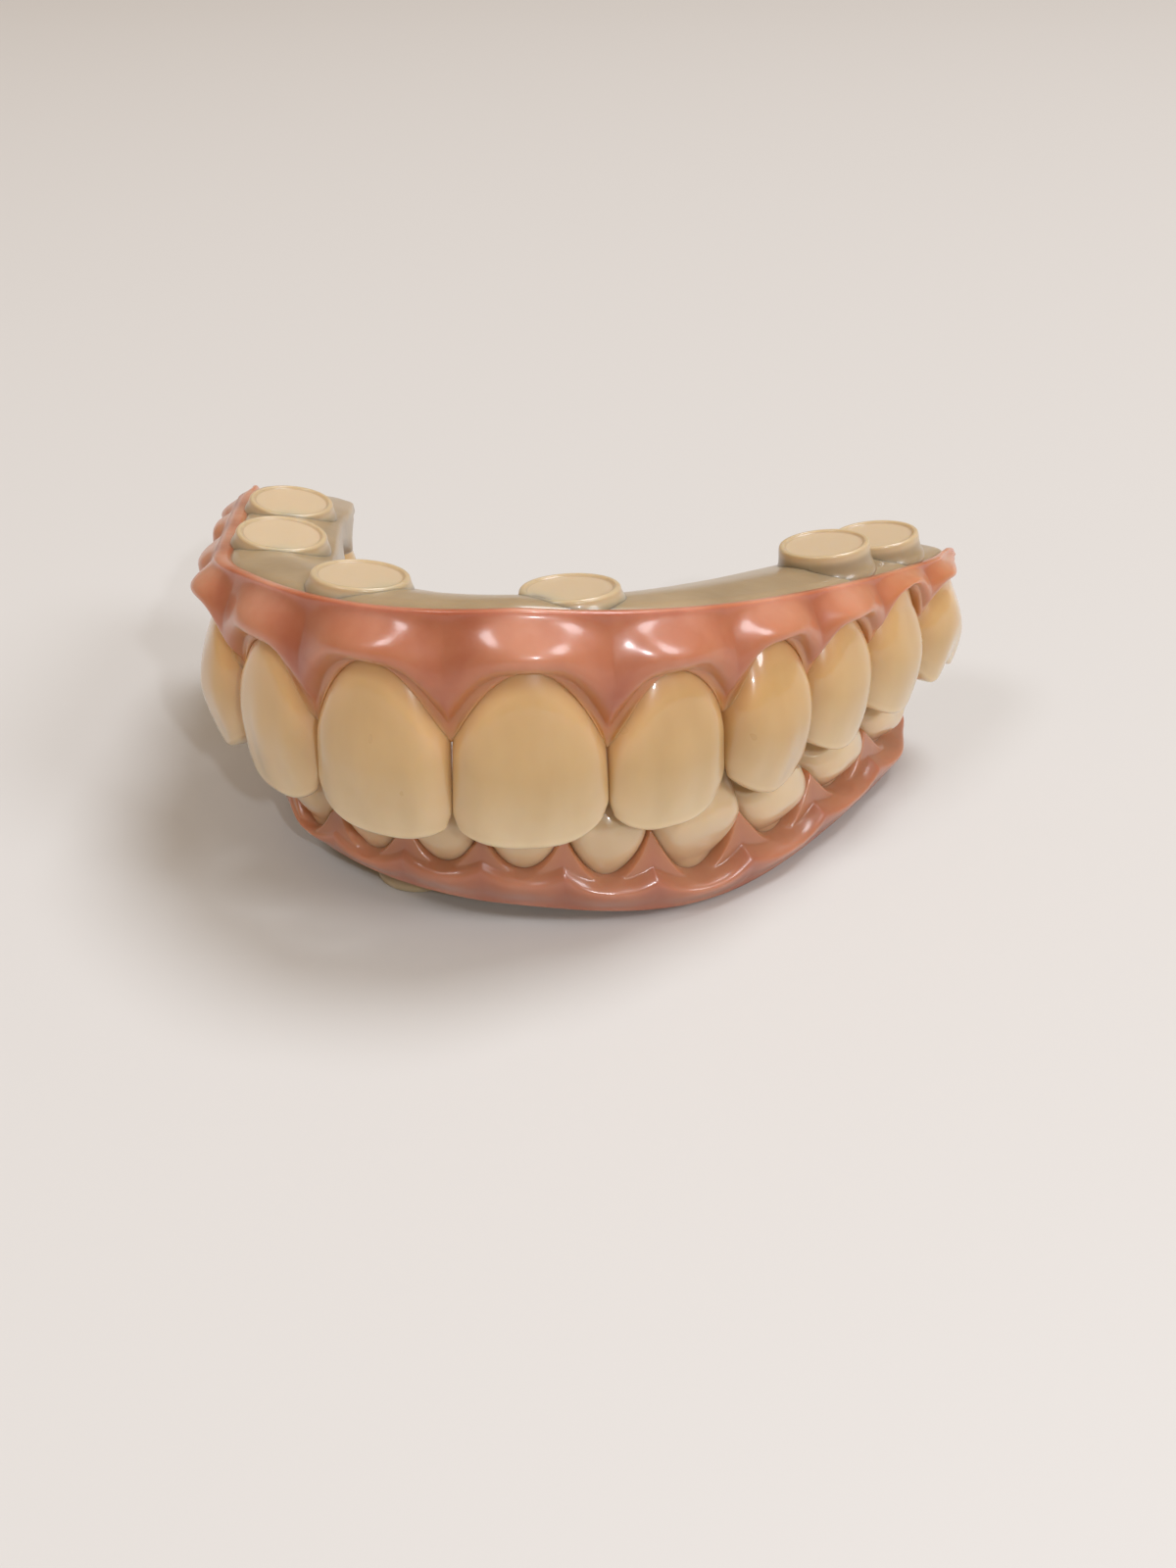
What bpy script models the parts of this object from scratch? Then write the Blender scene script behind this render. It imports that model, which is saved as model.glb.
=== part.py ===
"""Full denture in bite: an upper and a lower arch, each with framework, gum band and twelve teeth."""
import math

import bmesh
import bpy
import numpy as np
from mathutils import Matrix

# Bite: the upper edges lie in one gently falling surface, this high above the table.
BITE_HEIGHT = 0.0075
REAR_DROP = 0.0012
REAR_DROP_LENGTH = 0.025
REAR_DROP_END = 0.035
OVERBITE = 0.0021
CLEARANCE = 0.0003

# Arch lines: half width and depth of the labial line at the rear, and how parabolic it is.
UPPER_HALF_WIDTH = 0.0275
UPPER_DEPTH = 0.0295
UPPER_ROUNDNESS = 0.84
LOWER_HALF_WIDTH = 0.0250
LOWER_DEPTH = 0.0300
LOWER_ROUNDNESS = 0.56
LOWER_SETBACK = 0.0029
LOWER_SHIFT = 0.0009
LINE_REACH = 1.6
LINE_POINTS = 1600
TRACK_REACH = 0.055
TRACK_POINTS = 441

# Arms of the arch, on the wearer's right and left side: the angle that the front part keeps below,
# where the corner starts as a share of the side's length, its tightest radius, and the arm's own angle.
UPPER_RIGHT_ARM = (math.radians(45.0), 0.36, 0.0100, math.radians(74.0))
LOWER_RIGHT_ARM = (math.radians(44.0), 0.28, 0.0103, math.radians(76.0))
LEFT_ARM = (math.radians(90.0), 0.80, 0.0300, math.radians(77.0))

# Teeth from the middle to the rear: width, then heights of the gum line and of the papilla
# on the far side, both counted from the bite towards the gum.
UPPER_TEETH = {
    "central_incisor": (0.0091, 0.0100, 0.0048),
    "lateral_incisor": (0.0077, 0.0090, 0.0053),
    "canine": (0.0068, 0.0091, 0.0055),
    "first_premolar": (0.0067, 0.0084, 0.0056),
    "second_premolar": (0.0065, 0.0085, 0.0052),
    "first_molar": (0.0077, 0.0070, 0.0056),
}
LOWER_TEETH = {
    "central_incisor": (0.0048, 0.0034, 0.0010),
    "lateral_incisor": (0.0053, 0.0038, 0.0013),
    "canine": (0.0063, 0.0043, 0.0016),
    "first_premolar": (0.0068, 0.0042, 0.0016),
    "second_premolar": (0.0070, 0.0041, 0.0014),
    "first_molar": (0.0082, 0.0040, 0.0018),
}
UPPER_MIDDLE_PAPILLA = 0.0055
LOWER_MIDDLE_PAPILLA = 0.0010
MOLAR_DEPTH = 0.0084
PREMOLAR_DEPTH = 0.0078
UPPER_INCISOR_DEPTH = 0.0058
LOWER_INCISOR_DEPTH = 0.0050
BACK_FACE_FRONT = 0.0020
EDGE_THICKNESS = 0.0012
UPPER_EDGE_LEAN = 0.0003
LOWER_EDGE_LEAN = 0.0013
CUSP_HEIGHT = 0.0016
CUSP_SPACING = 0.0062
CUSP_INSET = 0.00168

# How the biting edges draw back from the bite: over the canine's slopes, on the molar's middle groove
# and corners, over the premolar's slopes, and at the near and far corners of the incisors.
CANINE_SLOPE = 0.0016
CANINE_TIP = 0.06
CANINE_LEAD = 0.0003
MOLAR_GROOVE = 0.0005
MOLAR_CORNER = 0.0004
PREMOLAR_SLOPE = 0.0013
CENTRAL_CORNER = 0.0007
LATERAL_CORNER = 0.0010
FAR_CORNER_MORE = 0.0005
INCISOR_LEAD = 0.0002

# Sections of the teeth: shares lost at the neck and at the biting end, and the share of the height
# over which the biting end fills out; then bellies and the draw of the front face at the neck.
NECK_START = 0.35
BACK_WIDTH_LOSS = (0.28, 0.08, 0.20)
BACK_DEPTH_LOSS = (0.18, 0.08, 0.35)
FRONT_WIDTH_LOSS = (0.30, 0.12, 0.16)
BACK_BELLY = 0.0005
BACK_NECK_DRAW = 0.0005
BACK_FACE_INSET = 0.0002
FRONT_BELLY = 0.0003
FRONT_NECK_DRAW = 0.0010
FRONT_MIDDLE_DRAW = 0.0009
FRONT_WEDGE = 0.3
LEAN_LENGTH = 0.45
SECTION_POWER = 2.5
SECTION_SQUARE = 0.8

# Where the roots end, from the bite, at the middle and how much nearer at the last tooth.
UPPER_ROOT_LENGTH = 0.0112
UPPER_ROOT_FALL = 0.0047
LOWER_ROOT_LENGTH = 0.0045
LOWER_ROOT_FALL = 0.0003
ROOT_FALL_POWER = 1.8

# Gum bands: height of the free edge over the ridge, from the bite, its fall to the rear, how far to
# the left it is highest, and its rise on the right side.
UPPER_GUM_HEIGHT = 0.0132
UPPER_GUM_FALL = 0.0056
UPPER_GUM_MIDDLE = 0.0040
UPPER_GUM_RISE = 0.0006
LOWER_GUM_HEIGHT = 0.0064
LOWER_GUM_FALL = 0.0009
LOWER_GUM_MIDDLE = 0.0
LOWER_GUM_RISE = -0.0014
GUM_FALL_POWER = 1.25
GUM_OVER_ROOTS = 0.00042
GUM_SWELL = 0.0010
GUM_EDGE_THICKNESS = 0.0004
GUM_ROLL = 0.0006
GUM_ROLL_START = 0.62
GUM_INSET = 0.0004
ROOT_SWELL = 0.0005
GUM_PAST_LAST_TOOTH = 0.0009
GUM_END_LIFT = 0.0012
GUM_END_TUCK = 0.0014
GUM_TUCK_LENGTH = 0.0040
GUM_STEP_OVER_ROOTS = 0.00033
END_ROUNDING = (0.45, 0.8)

# Framework bars, and their implant seats by arc length from the middle, right side negative, the upper
# ones with their height over the ridge. The lower ones reach down to the table.
BAR_THICKNESS = 0.0008
BAR_BACK_THICKNESS = 0.00056
BAR_FRONT = 0.0017
BAR_DEPTH = 0.0056
BAR_PAST_LAST_TOOTH = 0.0006
FLANGE_THICKNESS = 0.0007
FLANGE_GAP = 0.0004
FRONT_WIDENING = 0.4
BACK_WIDENING = 1.6
FLANGE_SCALLOP = 0.5
BAR_SLOPE = math.radians(19.0)
BAR_EDGE_DROP = 0.0004
BAR_EDGE_DRAW = 0.0006
BAR_FOOT_LIFT = 0.0002
BAR_RELIEF = 0.0001
FLANGE_TOP_DRAW = 0.0007
FLANGE_TOP_DROP = 0.0005
FLANGE_EDGE_DRAW = 0.0003
SEAT_LEAN = math.radians(11.0)
RIDGE_FRONT_SHARE = 0.45
RIDGE_CROWN = 0.00035
UPPER_SEATS = ((-0.0352, 0.0004), (-0.0250, 0.0004), (-0.0086, 0.0004),
               (0.0080, 0.0004), (0.0303, 0.0012), (0.0372, 0.0010))
LOWER_SEATS = (-0.0330, -0.0190, -0.0070, 0.0070, 0.0190, 0.0330)
SEAT_RADIUS = 0.0027
SEAT_FROM_FRONT = 0.0046
SEAT_SINK = 0.0004
SOCKET_RADIUS = 0.0021
SOCKET_DEPTH = 0.0007
SOCKET_TAPER = 0.0002
SEAT_BEVEL = 0.00015
CUTTER_PAST = 0.001

POINTS_ROUND = 18
SECTION_SHARES = (0.0, 0.12, 0.32, 0.6, 1.0)
SEAT_SIDES = 24
BACK_FACE_RINGS = (0.25, 0.5, 0.75)
FRONT_FACE_RINGS = (0.55,)
GUM_SHARES = (0.0, 0.12, 0.35, 0.62, 0.86, 1.0)
INNER_SHARES = (1.0, 0.66, 0.33, 0.0)
FLANGE_SHARES = (0.0, 0.3, 0.65, 0.95)
END_STEPS = (0.1, 0.6, 1.0)
TOOTH_COLOUR = (0.72, 0.58, 0.38)
GUM_COLOUR = (0.55, 0.20, 0.14)
FRAMEWORK_COLOUR = (0.62, 0.55, 0.38)
PIECES = "full_denture"
CUTTERS = "cutters"


def ease(x):
    """Smooth step from 0 to 1."""
    x = np.clip(x, 0.0, 1.0)
    return x * x * (3.0 - 2.0 * x)


def arch_line(half_width, depth, roundness, arms, reach):
    """Place and outward direction of a labial line at an arc length from its middle."""
    share = np.linspace(0.0, LINE_REACH, LINE_POINTS)
    heights = depth * (roundness * share ** 2 + (1.0 - roundness) * share ** 4)
    slopes = depth / half_width * (2.0 * roundness * share + 4.0 * (1.0 - roundness) * share ** 3)
    steps = np.hypot(half_width * np.diff(share), np.diff(heights))
    lengths = np.concatenate([[0.0], np.cumsum(steps)])
    sides = []
    for front_angle, start, radius, arm_angle in arms:
        angles = np.minimum(np.arctan(slopes), front_angle)
        turn = abs(arm_angle - np.interp(start * reach, lengths, angles))
        turned = ease((lengths - start * reach) / (1.5 * radius * turn))
        angles = angles * (1.0 - turned) + arm_angle * turned
        middles = 0.5 * (angles[1:] + angles[:-1])
        xs = np.concatenate([[0.0], np.cumsum(steps * np.cos(middles))])
        ys = np.concatenate([[0.0], np.cumsum(steps * np.sin(middles))])
        sides.append((xs, ys, angles))

    def at(s):
        right = np.asarray(s) < 0.0
        x, y, angle = [np.where(right, np.interp(-s, lengths, before), np.interp(s, lengths, after))
                       for before, after in zip(*sides)]
        side = np.where(right, -1.0, 1.0)
        return side * x, y, side * np.sin(angle), -np.cos(angle)

    return at


def kept(loss, neck, t):
    """Share of a size that is left at share t of a tooth's height."""
    at_neck, at_edge, length = loss
    return 1.0 - at_neck * neck - at_edge * (1.0 - ease(t / length))


class Arch:
    """One jaw: its labial line, its teeth, and whether its gum lies above or below them."""

    def __init__(self, name, curve, teeth, middle_papilla, root, gum, place):
        self.name = name
        self.teeth = teeth
        self.middle_papilla = middle_papilla
        self.root_length, self.root_fall = root
        self.gum_height, self.gum_fall, self.gum_middle, self.gum_rise = gum
        self.shift, self.setback = place
        self.up = 1.0 if name == "upper" else -1.0
        self.ends = np.concatenate([[0.0], np.cumsum([tooth[0] for tooth in teeth.values()])])
        self.reach = self.ends[-1]
        self.line = arch_line(*curve, self.reach)

    def flat(self, s, v):
        """Plan place of arc length s and distance v outside the labial line."""
        x, y, nx, ny = self.line(s)
        return x + nx * v + self.shift, y + ny * v + self.setback

    def place(self, s, v, h):
        """World place; h is counted from the bite towards this arch's own gum."""
        x, y = self.flat(s, v)
        drop = REAR_DROP * np.clip(y, 0.0, REAR_DROP_END) / REAR_DROP_LENGTH
        return np.stack(np.broadcast_arrays(x, y, BITE_HEIGHT + self.up * h - drop), axis=-1)

    def root_end(self, s):
        return self.root_length - self.root_fall * (np.abs(s) / self.reach) ** ROOT_FALL_POWER

    def gum_end(self, s):
        """Height of the gum's free edge over the ridge."""
        away = s - self.gum_middle
        share = np.abs(away) / (self.reach - np.sign(away) * self.gum_middle)
        height = self.gum_height - self.gum_fall * share ** GUM_FALL_POWER
        height = height + self.gum_rise * ease(0.5 - s / self.reach)
        return np.maximum(height, self.root_end(s) + GUM_OVER_ROOTS)


UPPER = Arch("upper", (UPPER_HALF_WIDTH, UPPER_DEPTH, UPPER_ROUNDNESS, (UPPER_RIGHT_ARM, LEFT_ARM)),
             UPPER_TEETH, UPPER_MIDDLE_PAPILLA, (UPPER_ROOT_LENGTH, UPPER_ROOT_FALL),
             (UPPER_GUM_HEIGHT, UPPER_GUM_FALL, UPPER_GUM_MIDDLE, UPPER_GUM_RISE), (0.0, 0.0))
LOWER = Arch("lower", (LOWER_HALF_WIDTH, LOWER_DEPTH, LOWER_ROUNDNESS, (LOWER_RIGHT_ARM, LEFT_ARM)),
             LOWER_TEETH, LOWER_MIDDLE_PAPILLA, (LOWER_ROOT_LENGTH, LOWER_ROOT_FALL),
             (LOWER_GUM_HEIGHT, LOWER_GUM_FALL, LOWER_GUM_MIDDLE, LOWER_GUM_RISE),
             (LOWER_SHIFT, LOWER_SETBACK))
UPPER_TRACK = np.stack(UPPER.flat(np.linspace(-TRACK_REACH, TRACK_REACH, TRACK_POINTS), 0.0), axis=-1)


def bite_height(x, y):
    """Height over the bite of the surface between the back teeth, from the distance to the upper line."""
    gaps = np.hypot(x[..., None] - UPPER_TRACK[:, 0], y[..., None] - UPPER_TRACK[:, 1])
    inset = np.maximum(gaps.min(axis=-1) - CUSP_INSET, 0.0)
    return 0.5 * CUSP_HEIGHT * (1.0 - np.cos(2.0 * math.pi * inset / CUSP_SPACING))


class Tooth:
    """Shape of one tooth: s along the arch, v outside its line, h from the bite towards the root."""

    def __init__(self, arch, side, index):
        names = list(arch.teeth)
        self.arch = arch
        self.side = side
        self.kind = names[index]
        self.width, self.gum_line, self.far_papilla = arch.teeth[self.kind]
        self.near_papilla = arch.teeth[names[index - 1]][2] if index else arch.middle_papilla
        self.middle = side * 0.5 * (arch.ends[index] + arch.ends[index + 1])
        self.half = 0.5 * (self.width - CLEARANCE)
        self.back = "molar" in self.kind
        self.name = "{}_{}_{}".format(arch.name, "left" if side > 0 else "right", self.kind)

    def rise(self, u):
        """How far the biting edge lies back from the bite over the width, u from -1 (near) to 1."""
        if self.kind == "canine":
            return CANINE_SLOPE * np.abs(u - CANINE_TIP) ** 1.5 - CANINE_LEAD
        if self.kind == "first_molar":
            return MOLAR_GROOVE * (1.0 + np.cos(2.0 * math.pi * u)) + MOLAR_CORNER * np.abs(u) ** 4
        if self.back:
            return PREMOLAR_SLOPE * np.abs(u) ** 1.6
        near = CENTRAL_CORNER if self.kind == "central_incisor" else LATERAL_CORNER
        return np.where(u < 0.0, near, near + FAR_CORNER_MORE) * np.abs(u) ** 3 - INCISOR_LEAD

    def edge(self, s, v, u):
        """Height of the biting face at plan place s, v."""
        if self.back:
            x, y = self.arch.flat(s, v)
            return self.arch.up * bite_height(x, y) + 0.5 * CLEARANCE + self.rise(u)
        start = 0.0 if self.arch.up > 0.0 else -OVERBITE
        return start + self.rise(u)

    def section(self, t):
        """Half width, widest line, front and back depth at share t of the height."""
        neck = ease((t - NECK_START) / (1.0 - NECK_START))
        if self.back:
            depth = MOLAR_DEPTH if self.kind == "first_molar" else PREMOLAR_DEPTH
            half = self.half * kept(BACK_WIDTH_LOSS, neck, t)
            belly = BACK_BELLY * np.sin(math.pi * np.minimum(1.0, 1.2 * t))
            front = BACK_FACE_FRONT + belly - BACK_FACE_INSET - BACK_NECK_DRAW * neck
            back = (depth - BACK_FACE_FRONT) * kept(BACK_DEPTH_LOSS, neck, t)
            return half, -BACK_FACE_FRONT + 0.0 * t, front, back
        half = self.half * kept(FRONT_WIDTH_LOSS, neck, t)
        depth = UPPER_INCISOR_DEPTH if self.arch.up > 0.0 else LOWER_INCISOR_DEPTH
        grown = FRONT_WEDGE * t + (1.0 - FRONT_WEDGE) * ease((t - 0.15) / 0.7)
        thick = EDGE_THICKNESS + (depth - EDGE_THICKNESS) * grown
        lean = (UPPER_EDGE_LEAN if self.arch.up > 0.0 else LOWER_EDGE_LEAN) * (1.0 - ease(t / LEAN_LENGTH))
        belly = FRONT_BELLY * np.sin(math.pi * np.minimum(1.0, 1.15 * t))
        face = belly - FRONT_NECK_DRAW * neck - lean
        middle = -0.5 * EDGE_THICKNESS - FRONT_MIDDLE_DRAW * ease(2.0 * t) - lean
        return half, middle, face - middle, thick - face + middle

    def face(self, s, h, front_side):
        """Distance of the front or back face from the labial line at arc length s and height h."""
        v = -BACK_FACE_FRONT
        u = (s - self.middle) / self.half
        for _ in range(3):
            start = self.edge(s, v, self.side * u)
            t = np.clip((h - start) / (self.arch.root_end(s) - start), 0.0, 1.0)
            half, middle, front, back = self.section(t)
            u = np.clip((s - self.middle) / half, -1.0, 1.0)
            v = middle + (front if front_side else -back) * (1.0 - np.abs(u) ** SECTION_POWER) ** 0.5
        return v

    def ring(self, t, shrink, turn):
        """One closed row of points, drawn in towards its middle by shrink."""
        half, middle, front, back = self.section(t)
        round_width = np.sign(np.cos(turn)) * np.abs(np.cos(turn)) ** SECTION_SQUARE
        deep = np.sin(turn)
        v = middle + shrink * np.where(deep > 0.0, front, back) * deep
        u = shrink * round_width
        s = self.middle + half * u
        start = self.edge(s, v, self.side * u)
        return self.arch.place(s, v, start + (self.arch.root_end(s) - start) * t)

    def rings(self):
        turn = 2.0 * math.pi * (np.arange(POINTS_ROUND) + 0.5) / POINTS_ROUND
        inner = BACK_FACE_RINGS if self.back else FRONT_FACE_RINGS
        rows = [self.ring(0.0, shrink, turn) for shrink in inner]
        return rows + [self.ring(t, 1.0, turn) for t in SECTION_SHARES]


def mesh_object(name, points, faces, collection, material=None):
    mesh = bpy.data.meshes.new(name)
    mesh.from_pydata([tuple(point) for point in points], [], faces)
    model = bmesh.new()
    model.from_mesh(mesh)
    bmesh.ops.triangulate(model, faces=model.faces)
    bmesh.ops.recalc_face_normals(model, faces=model.faces)
    model.to_mesh(mesh)
    model.free()
    made = bpy.data.objects.new(name, mesh)
    collection.objects.link(made)
    if material:
        mesh.materials.append(material)
        mesh.shade_smooth()
    return made


def loft(name, rows, collection, material):
    """Closed body through closed rows of equal count, with a face over each end."""
    count = len(rows[0])
    faces = []
    for low in range(len(rows) - 1):
        for i in range(count):
            j = (i + 1) % count
            faces.append((low * count + i, low * count + j, (low + 1) * count + j, (low + 1) * count + i))
    last = (len(rows) - 1) * count
    faces += [tuple(range(count)), tuple(range(last, last + count))]
    return mesh_object(name, np.concatenate(rows), faces, collection, material)


def make_material(name, colour, roughness, scatter):
    material = bpy.data.materials.new(name)
    material.use_nodes = True
    shader = material.node_tree.nodes["Principled BSDF"]
    shader.inputs["Base Color"].default_value = (*colour, 1.0)
    shader.inputs["Roughness"].default_value = roughness
    shader.inputs["Subsurface Weight"].default_value = scatter
    shader.inputs["Subsurface Scale"].default_value = 0.001
    return material


def make_teeth(arch, collection):
    teeth = []
    for side in (-1.0, 1.0):
        for index in range(len(arch.teeth)):
            tooth = Tooth(arch, side, index)
            material = make_material(tooth.name, TOOTH_COLOUR, 0.22, 0.3)
            loft(tooth.name, tooth.rings(), collection, material)
            teeth.append(tooth)
    return sorted(teeth, key=lambda tooth: tooth.middle)


def gum_line(arch, teeth, s, scallop=1.0):
    """Height of the scalloped gum line: an arch over each tooth between its two papillae."""
    line = np.full(np.shape(s), teeth[0].far_papilla)
    for tooth in teeth:
        u = tooth.side * (s - tooth.middle) / (0.5 * tooth.width)
        papilla = np.where(u < 0.0, tooth.near_papilla, tooth.far_papilla)
        arched = papilla + scallop * (tooth.gum_line - papilla) * (1.0 - np.clip(np.abs(u), 0.0, 1.0) ** 2)
        line = np.where(np.abs(u) <= 1.0, arched, line)
    past = (np.abs(s) - arch.reach) / GUM_PAST_LAST_TOOTH
    return line + ease(past) * GUM_END_LIFT


def tooth_cover(teeth, s, h):
    """Lines that clear the fronts and the backs of the teeth, widened to clear their sides."""
    front = np.full(np.shape(s), -BAR_FRONT)
    back = np.full(np.shape(s), -SEAT_FROM_FRONT)
    for tooth in teeth:
        past = np.abs(s - tooth.middle) - 0.5 * tooth.width
        at = np.nonzero(past <= BACK_WIDENING * CLEARANCE)
        for step in (-CLEARANCE, 0.0, CLEARANCE):
            before = tooth.face(s[at] + FRONT_WIDENING * step, h[at], True)
            behind = tooth.face(s[at] + BACK_WIDENING * step, h[at], False)
            close = past[at] <= FRONT_WIDENING * abs(step)
            front[at] = np.where(close, np.maximum(front[at], before), front[at])
            back[at] = np.minimum(back[at], behind)
    return front + CLEARANCE, back - FLANGE_GAP


def gum_outer(arch, teeth, s, share):
    """Outer face of the gum band at arc length s and share of its height."""
    low = gum_line(arch, teeth, s)
    h = low + (arch.gum_end(s) - low) * share
    lump = np.zeros(np.shape(s))
    for tooth in teeth:
        u = (s - tooth.middle) / (0.5 * tooth.width)
        lump = np.where(np.abs(u) <= 1.0, np.cos(0.5 * math.pi * u) ** 2, lump)
    swell = GUM_SWELL * np.sin(math.pi * share ** 0.8) + ROOT_SWELL * lump * np.sin(math.pi * share)
    roll = GUM_ROLL * ease((share - GUM_ROLL_START) / (1.0 - GUM_ROLL_START)) ** 1.5
    bare = ease((h - arch.root_end(s)) / CLEARANCE)
    under = tooth_cover(teeth, s, h)[0] * (1.0 - bare) - bare * (BAR_FRONT - CLEARANCE)
    tuck = GUM_INSET + GUM_END_TUCK * ease((np.abs(s) - arch.reach) / GUM_TUCK_LENGTH + 1.0)
    return np.maximum(swell - roll - tuck, under + GUM_EDGE_THICKNESS), h


def gum_inner(arch, teeth, s):
    """Inner face from the ridge down to the gum line: behind the roots it steps back to the bar."""
    wall = -BAR_FRONT + CLEARANCE + 0.0 * s
    low = gum_line(arch, teeth, s)
    step = arch.root_end(s) + CLEARANCE
    rows = [(wall, arch.gum_end(s)), (wall, arch.root_end(s) + GUM_STEP_OVER_ROOTS)]
    for share in INNER_SHARES:
        h = low + (step - low) * share
        rows.append((tooth_cover(teeth, s, h)[0], h))
    return rows


def station_row(teeth, past):
    """Arc lengths across the arch to just past its last teeth, on the lines of the points round each."""
    turn = 2.0 * math.pi * (np.arange(POINTS_ROUND // 2 - 2) + 1.5) / POINTS_ROUND
    across = np.sign(np.cos(turn)) * np.abs(np.cos(turn)) ** SECTION_SQUARE
    row = np.concatenate([tooth.middle + tooth.half * across for tooth in teeth])
    between = [tooth.middle - 0.5 * tooth.width for tooth in teeth[1:]]
    end = teeth[-1].middle + 0.5 * teeth[-1].width
    ends = [side * (end + past * step) for side in (-1.0, 1.0) for step in END_STEPS]
    return np.sort(np.concatenate([row, between, ends]))


def rounded_ends(grid):
    """Rows along an arch with both end rows drawn in towards their middles."""
    for row, draw in zip((0, 1, -1, -2), 2 * END_ROUNDING):
        middle = grid[row].mean(axis=0)
        grid[row] = middle + draw * (grid[row] - middle)
    return list(grid)


def make_gum(arch, teeth, collection):
    """Band over the necks of the teeth: rows run up the outer face and back down the inner one."""
    s = station_row(teeth, GUM_PAST_LAST_TOOTH)
    loop = [gum_outer(arch, teeth, s, share) for share in GUM_SHARES]
    loop += gum_inner(arch, teeth, s)
    grid = np.stack([arch.place(s, v, h) for v, h in loop], axis=1)
    material = make_material(arch.name + "_gum", GUM_COLOUR, 0.2, 0.25)
    loft(arch.name + "_gum", rounded_ends(grid), collection, material)


def bar_heights(arch, s):
    """Heights of the framework's underside, and of its tissue side in front, behind and on the ridge."""
    under = arch.root_end(s) + CLEARANCE
    top = np.maximum(arch.gum_end(s), under + BAR_THICKNESS)
    back_top = np.maximum(top - math.tan(BAR_SLOPE) * BAR_DEPTH, under + BAR_BACK_THICKNESS)
    return under, top, back_top, back_top + RIDGE_FRONT_SHARE * (top - back_top) + RIDGE_CROWN


def behind_teeth(teeth, s, h):
    """Smooth line behind the teeth, from back to back."""
    middles = [tooth.middle for tooth in teeth]
    backs = np.stack([tooth.face(tooth.middle, h, False) for tooth in teeth], axis=1)
    return np.array([np.interp(at, middles, row) for at, row in zip(s, backs)])


def bar_profile(arch, teeth, s):
    """Closed row across the framework: up its front, over the ridge, down the flange."""
    under, top, back_top, ridge = bar_heights(arch, s)
    v0 = -BAR_FRONT
    v1 = v0 - BAR_DEPTH
    outline = [(v0 + BAR_RELIEF, under + BAR_FOOT_LIFT), (v0 - BAR_RELIEF, top - BAR_EDGE_DROP),
               (v0 - BAR_EDGE_DRAW, top), (-SEAT_FROM_FRONT, ridge), (v1 + FLANGE_TOP_DRAW, back_top)]
    line = gum_line(arch, teeth, s, FLANGE_SCALLOP)
    for share in FLANGE_SHARES:
        h = back_top - FLANGE_TOP_DROP + (line - back_top + FLANGE_TOP_DROP) * share
        behind = np.minimum(behind_teeth(teeth, s, h) - FLANGE_GAP, tooth_cover(teeth, s, h)[1])
        edge = FLANGE_EDGE_DRAW * (share == FLANGE_SHARES[-1])
        outline.append((np.minimum(v1, behind - FLANGE_THICKNESS) + edge, h))
    for share in INNER_SHARES:
        h = under + (line - under) * share
        outline.append((tooth_cover(teeth, s, h)[1] - BAR_RELIEF * (share == 1.0), h))
    return outline + [(-SEAT_FROM_FRONT + CLEARANCE, under)]


def seat_frame(arch, s):
    """Middle of a seat on the ridge and the direction in which it points."""
    place = arch.place(s, -SEAT_FROM_FRONT, bar_heights(arch, s)[3])
    if arch.up < 0.0:
        return place, np.array([0.0, 0.0, -1.0])
    _, _, nx, ny = arch.line(s)
    lean = math.sin(SEAT_LEAN)
    return place, np.array([-nx * lean, -ny * lean, math.cos(SEAT_LEAN)])


def cylinder(name, base, axis, radii, length, collection, bevel=0.0):
    """Turned body from base along axis, with its end rounded by bevel."""
    z = np.array(axis)
    x = np.cross(z, [0.0, 1.0, 0.0])
    x = x / np.linalg.norm(x)
    y = np.cross(z, x)
    turn = 2.0 * math.pi * (np.arange(SEAT_SIDES) + 0.3) / SEAT_SIDES
    steps = [(radii[0], 0.0), (radii[1], length - bevel), (radii[1] - bevel, length)]
    if bevel == 0.0:
        steps = [(radii[0], 0.0), (radii[1], length)]
    rows = []
    for radius, height in steps:
        around = np.outer(np.cos(turn), x) + np.outer(np.sin(turn), y)
        rows.append(base + radius * around + height * z)
    return loft(name, rows, collection, None)


def cut(target, tool, operation):
    """Exact boolean of target with tool, which stays hidden among the cutters."""
    tool.hide_render = True
    tool.display_type = "WIRE"
    step = target.modifiers.new(tool.name, "BOOLEAN")
    step.operation = operation
    step.solver = "EXACT"
    step.object = tool


def make_framework(arch, teeth, seats, collection, cutters):
    """Bar and flange along the arch, its seats standing on the ridge, and a socket in each seat."""
    stations = station_row(teeth, BAR_PAST_LAST_TOOTH)
    grid = np.stack([arch.place(stations, v + 0.0 * stations, h)
                     for v, h in bar_profile(arch, teeth, stations)], axis=1)
    material = make_material(arch.name + "_framework", FRAMEWORK_COLOUR, 0.3, 0.2)
    bar = loft(arch.name + "_framework", rounded_ends(grid), collection, material)
    for number, (s, rise) in enumerate(seats):
        place, axis = seat_frame(arch, s)
        label = "{}_seat_{}".format(arch.name, number + 1)
        base = place - axis * SEAT_SINK
        pad = cylinder(label, base, axis, (SEAT_RADIUS, SEAT_RADIUS), rise + SEAT_SINK, cutters, SEAT_BEVEL)
        cut(bar, pad, "UNION")
        floor = place + axis * (rise - SOCKET_DEPTH)
        bore = cylinder(label + "_socket", floor, axis, (SOCKET_RADIUS - SOCKET_TAPER, SOCKET_RADIUS),
                        SOCKET_DEPTH + CUTTER_PAST, cutters)
        cut(bar, bore, "DIFFERENCE")


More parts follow.
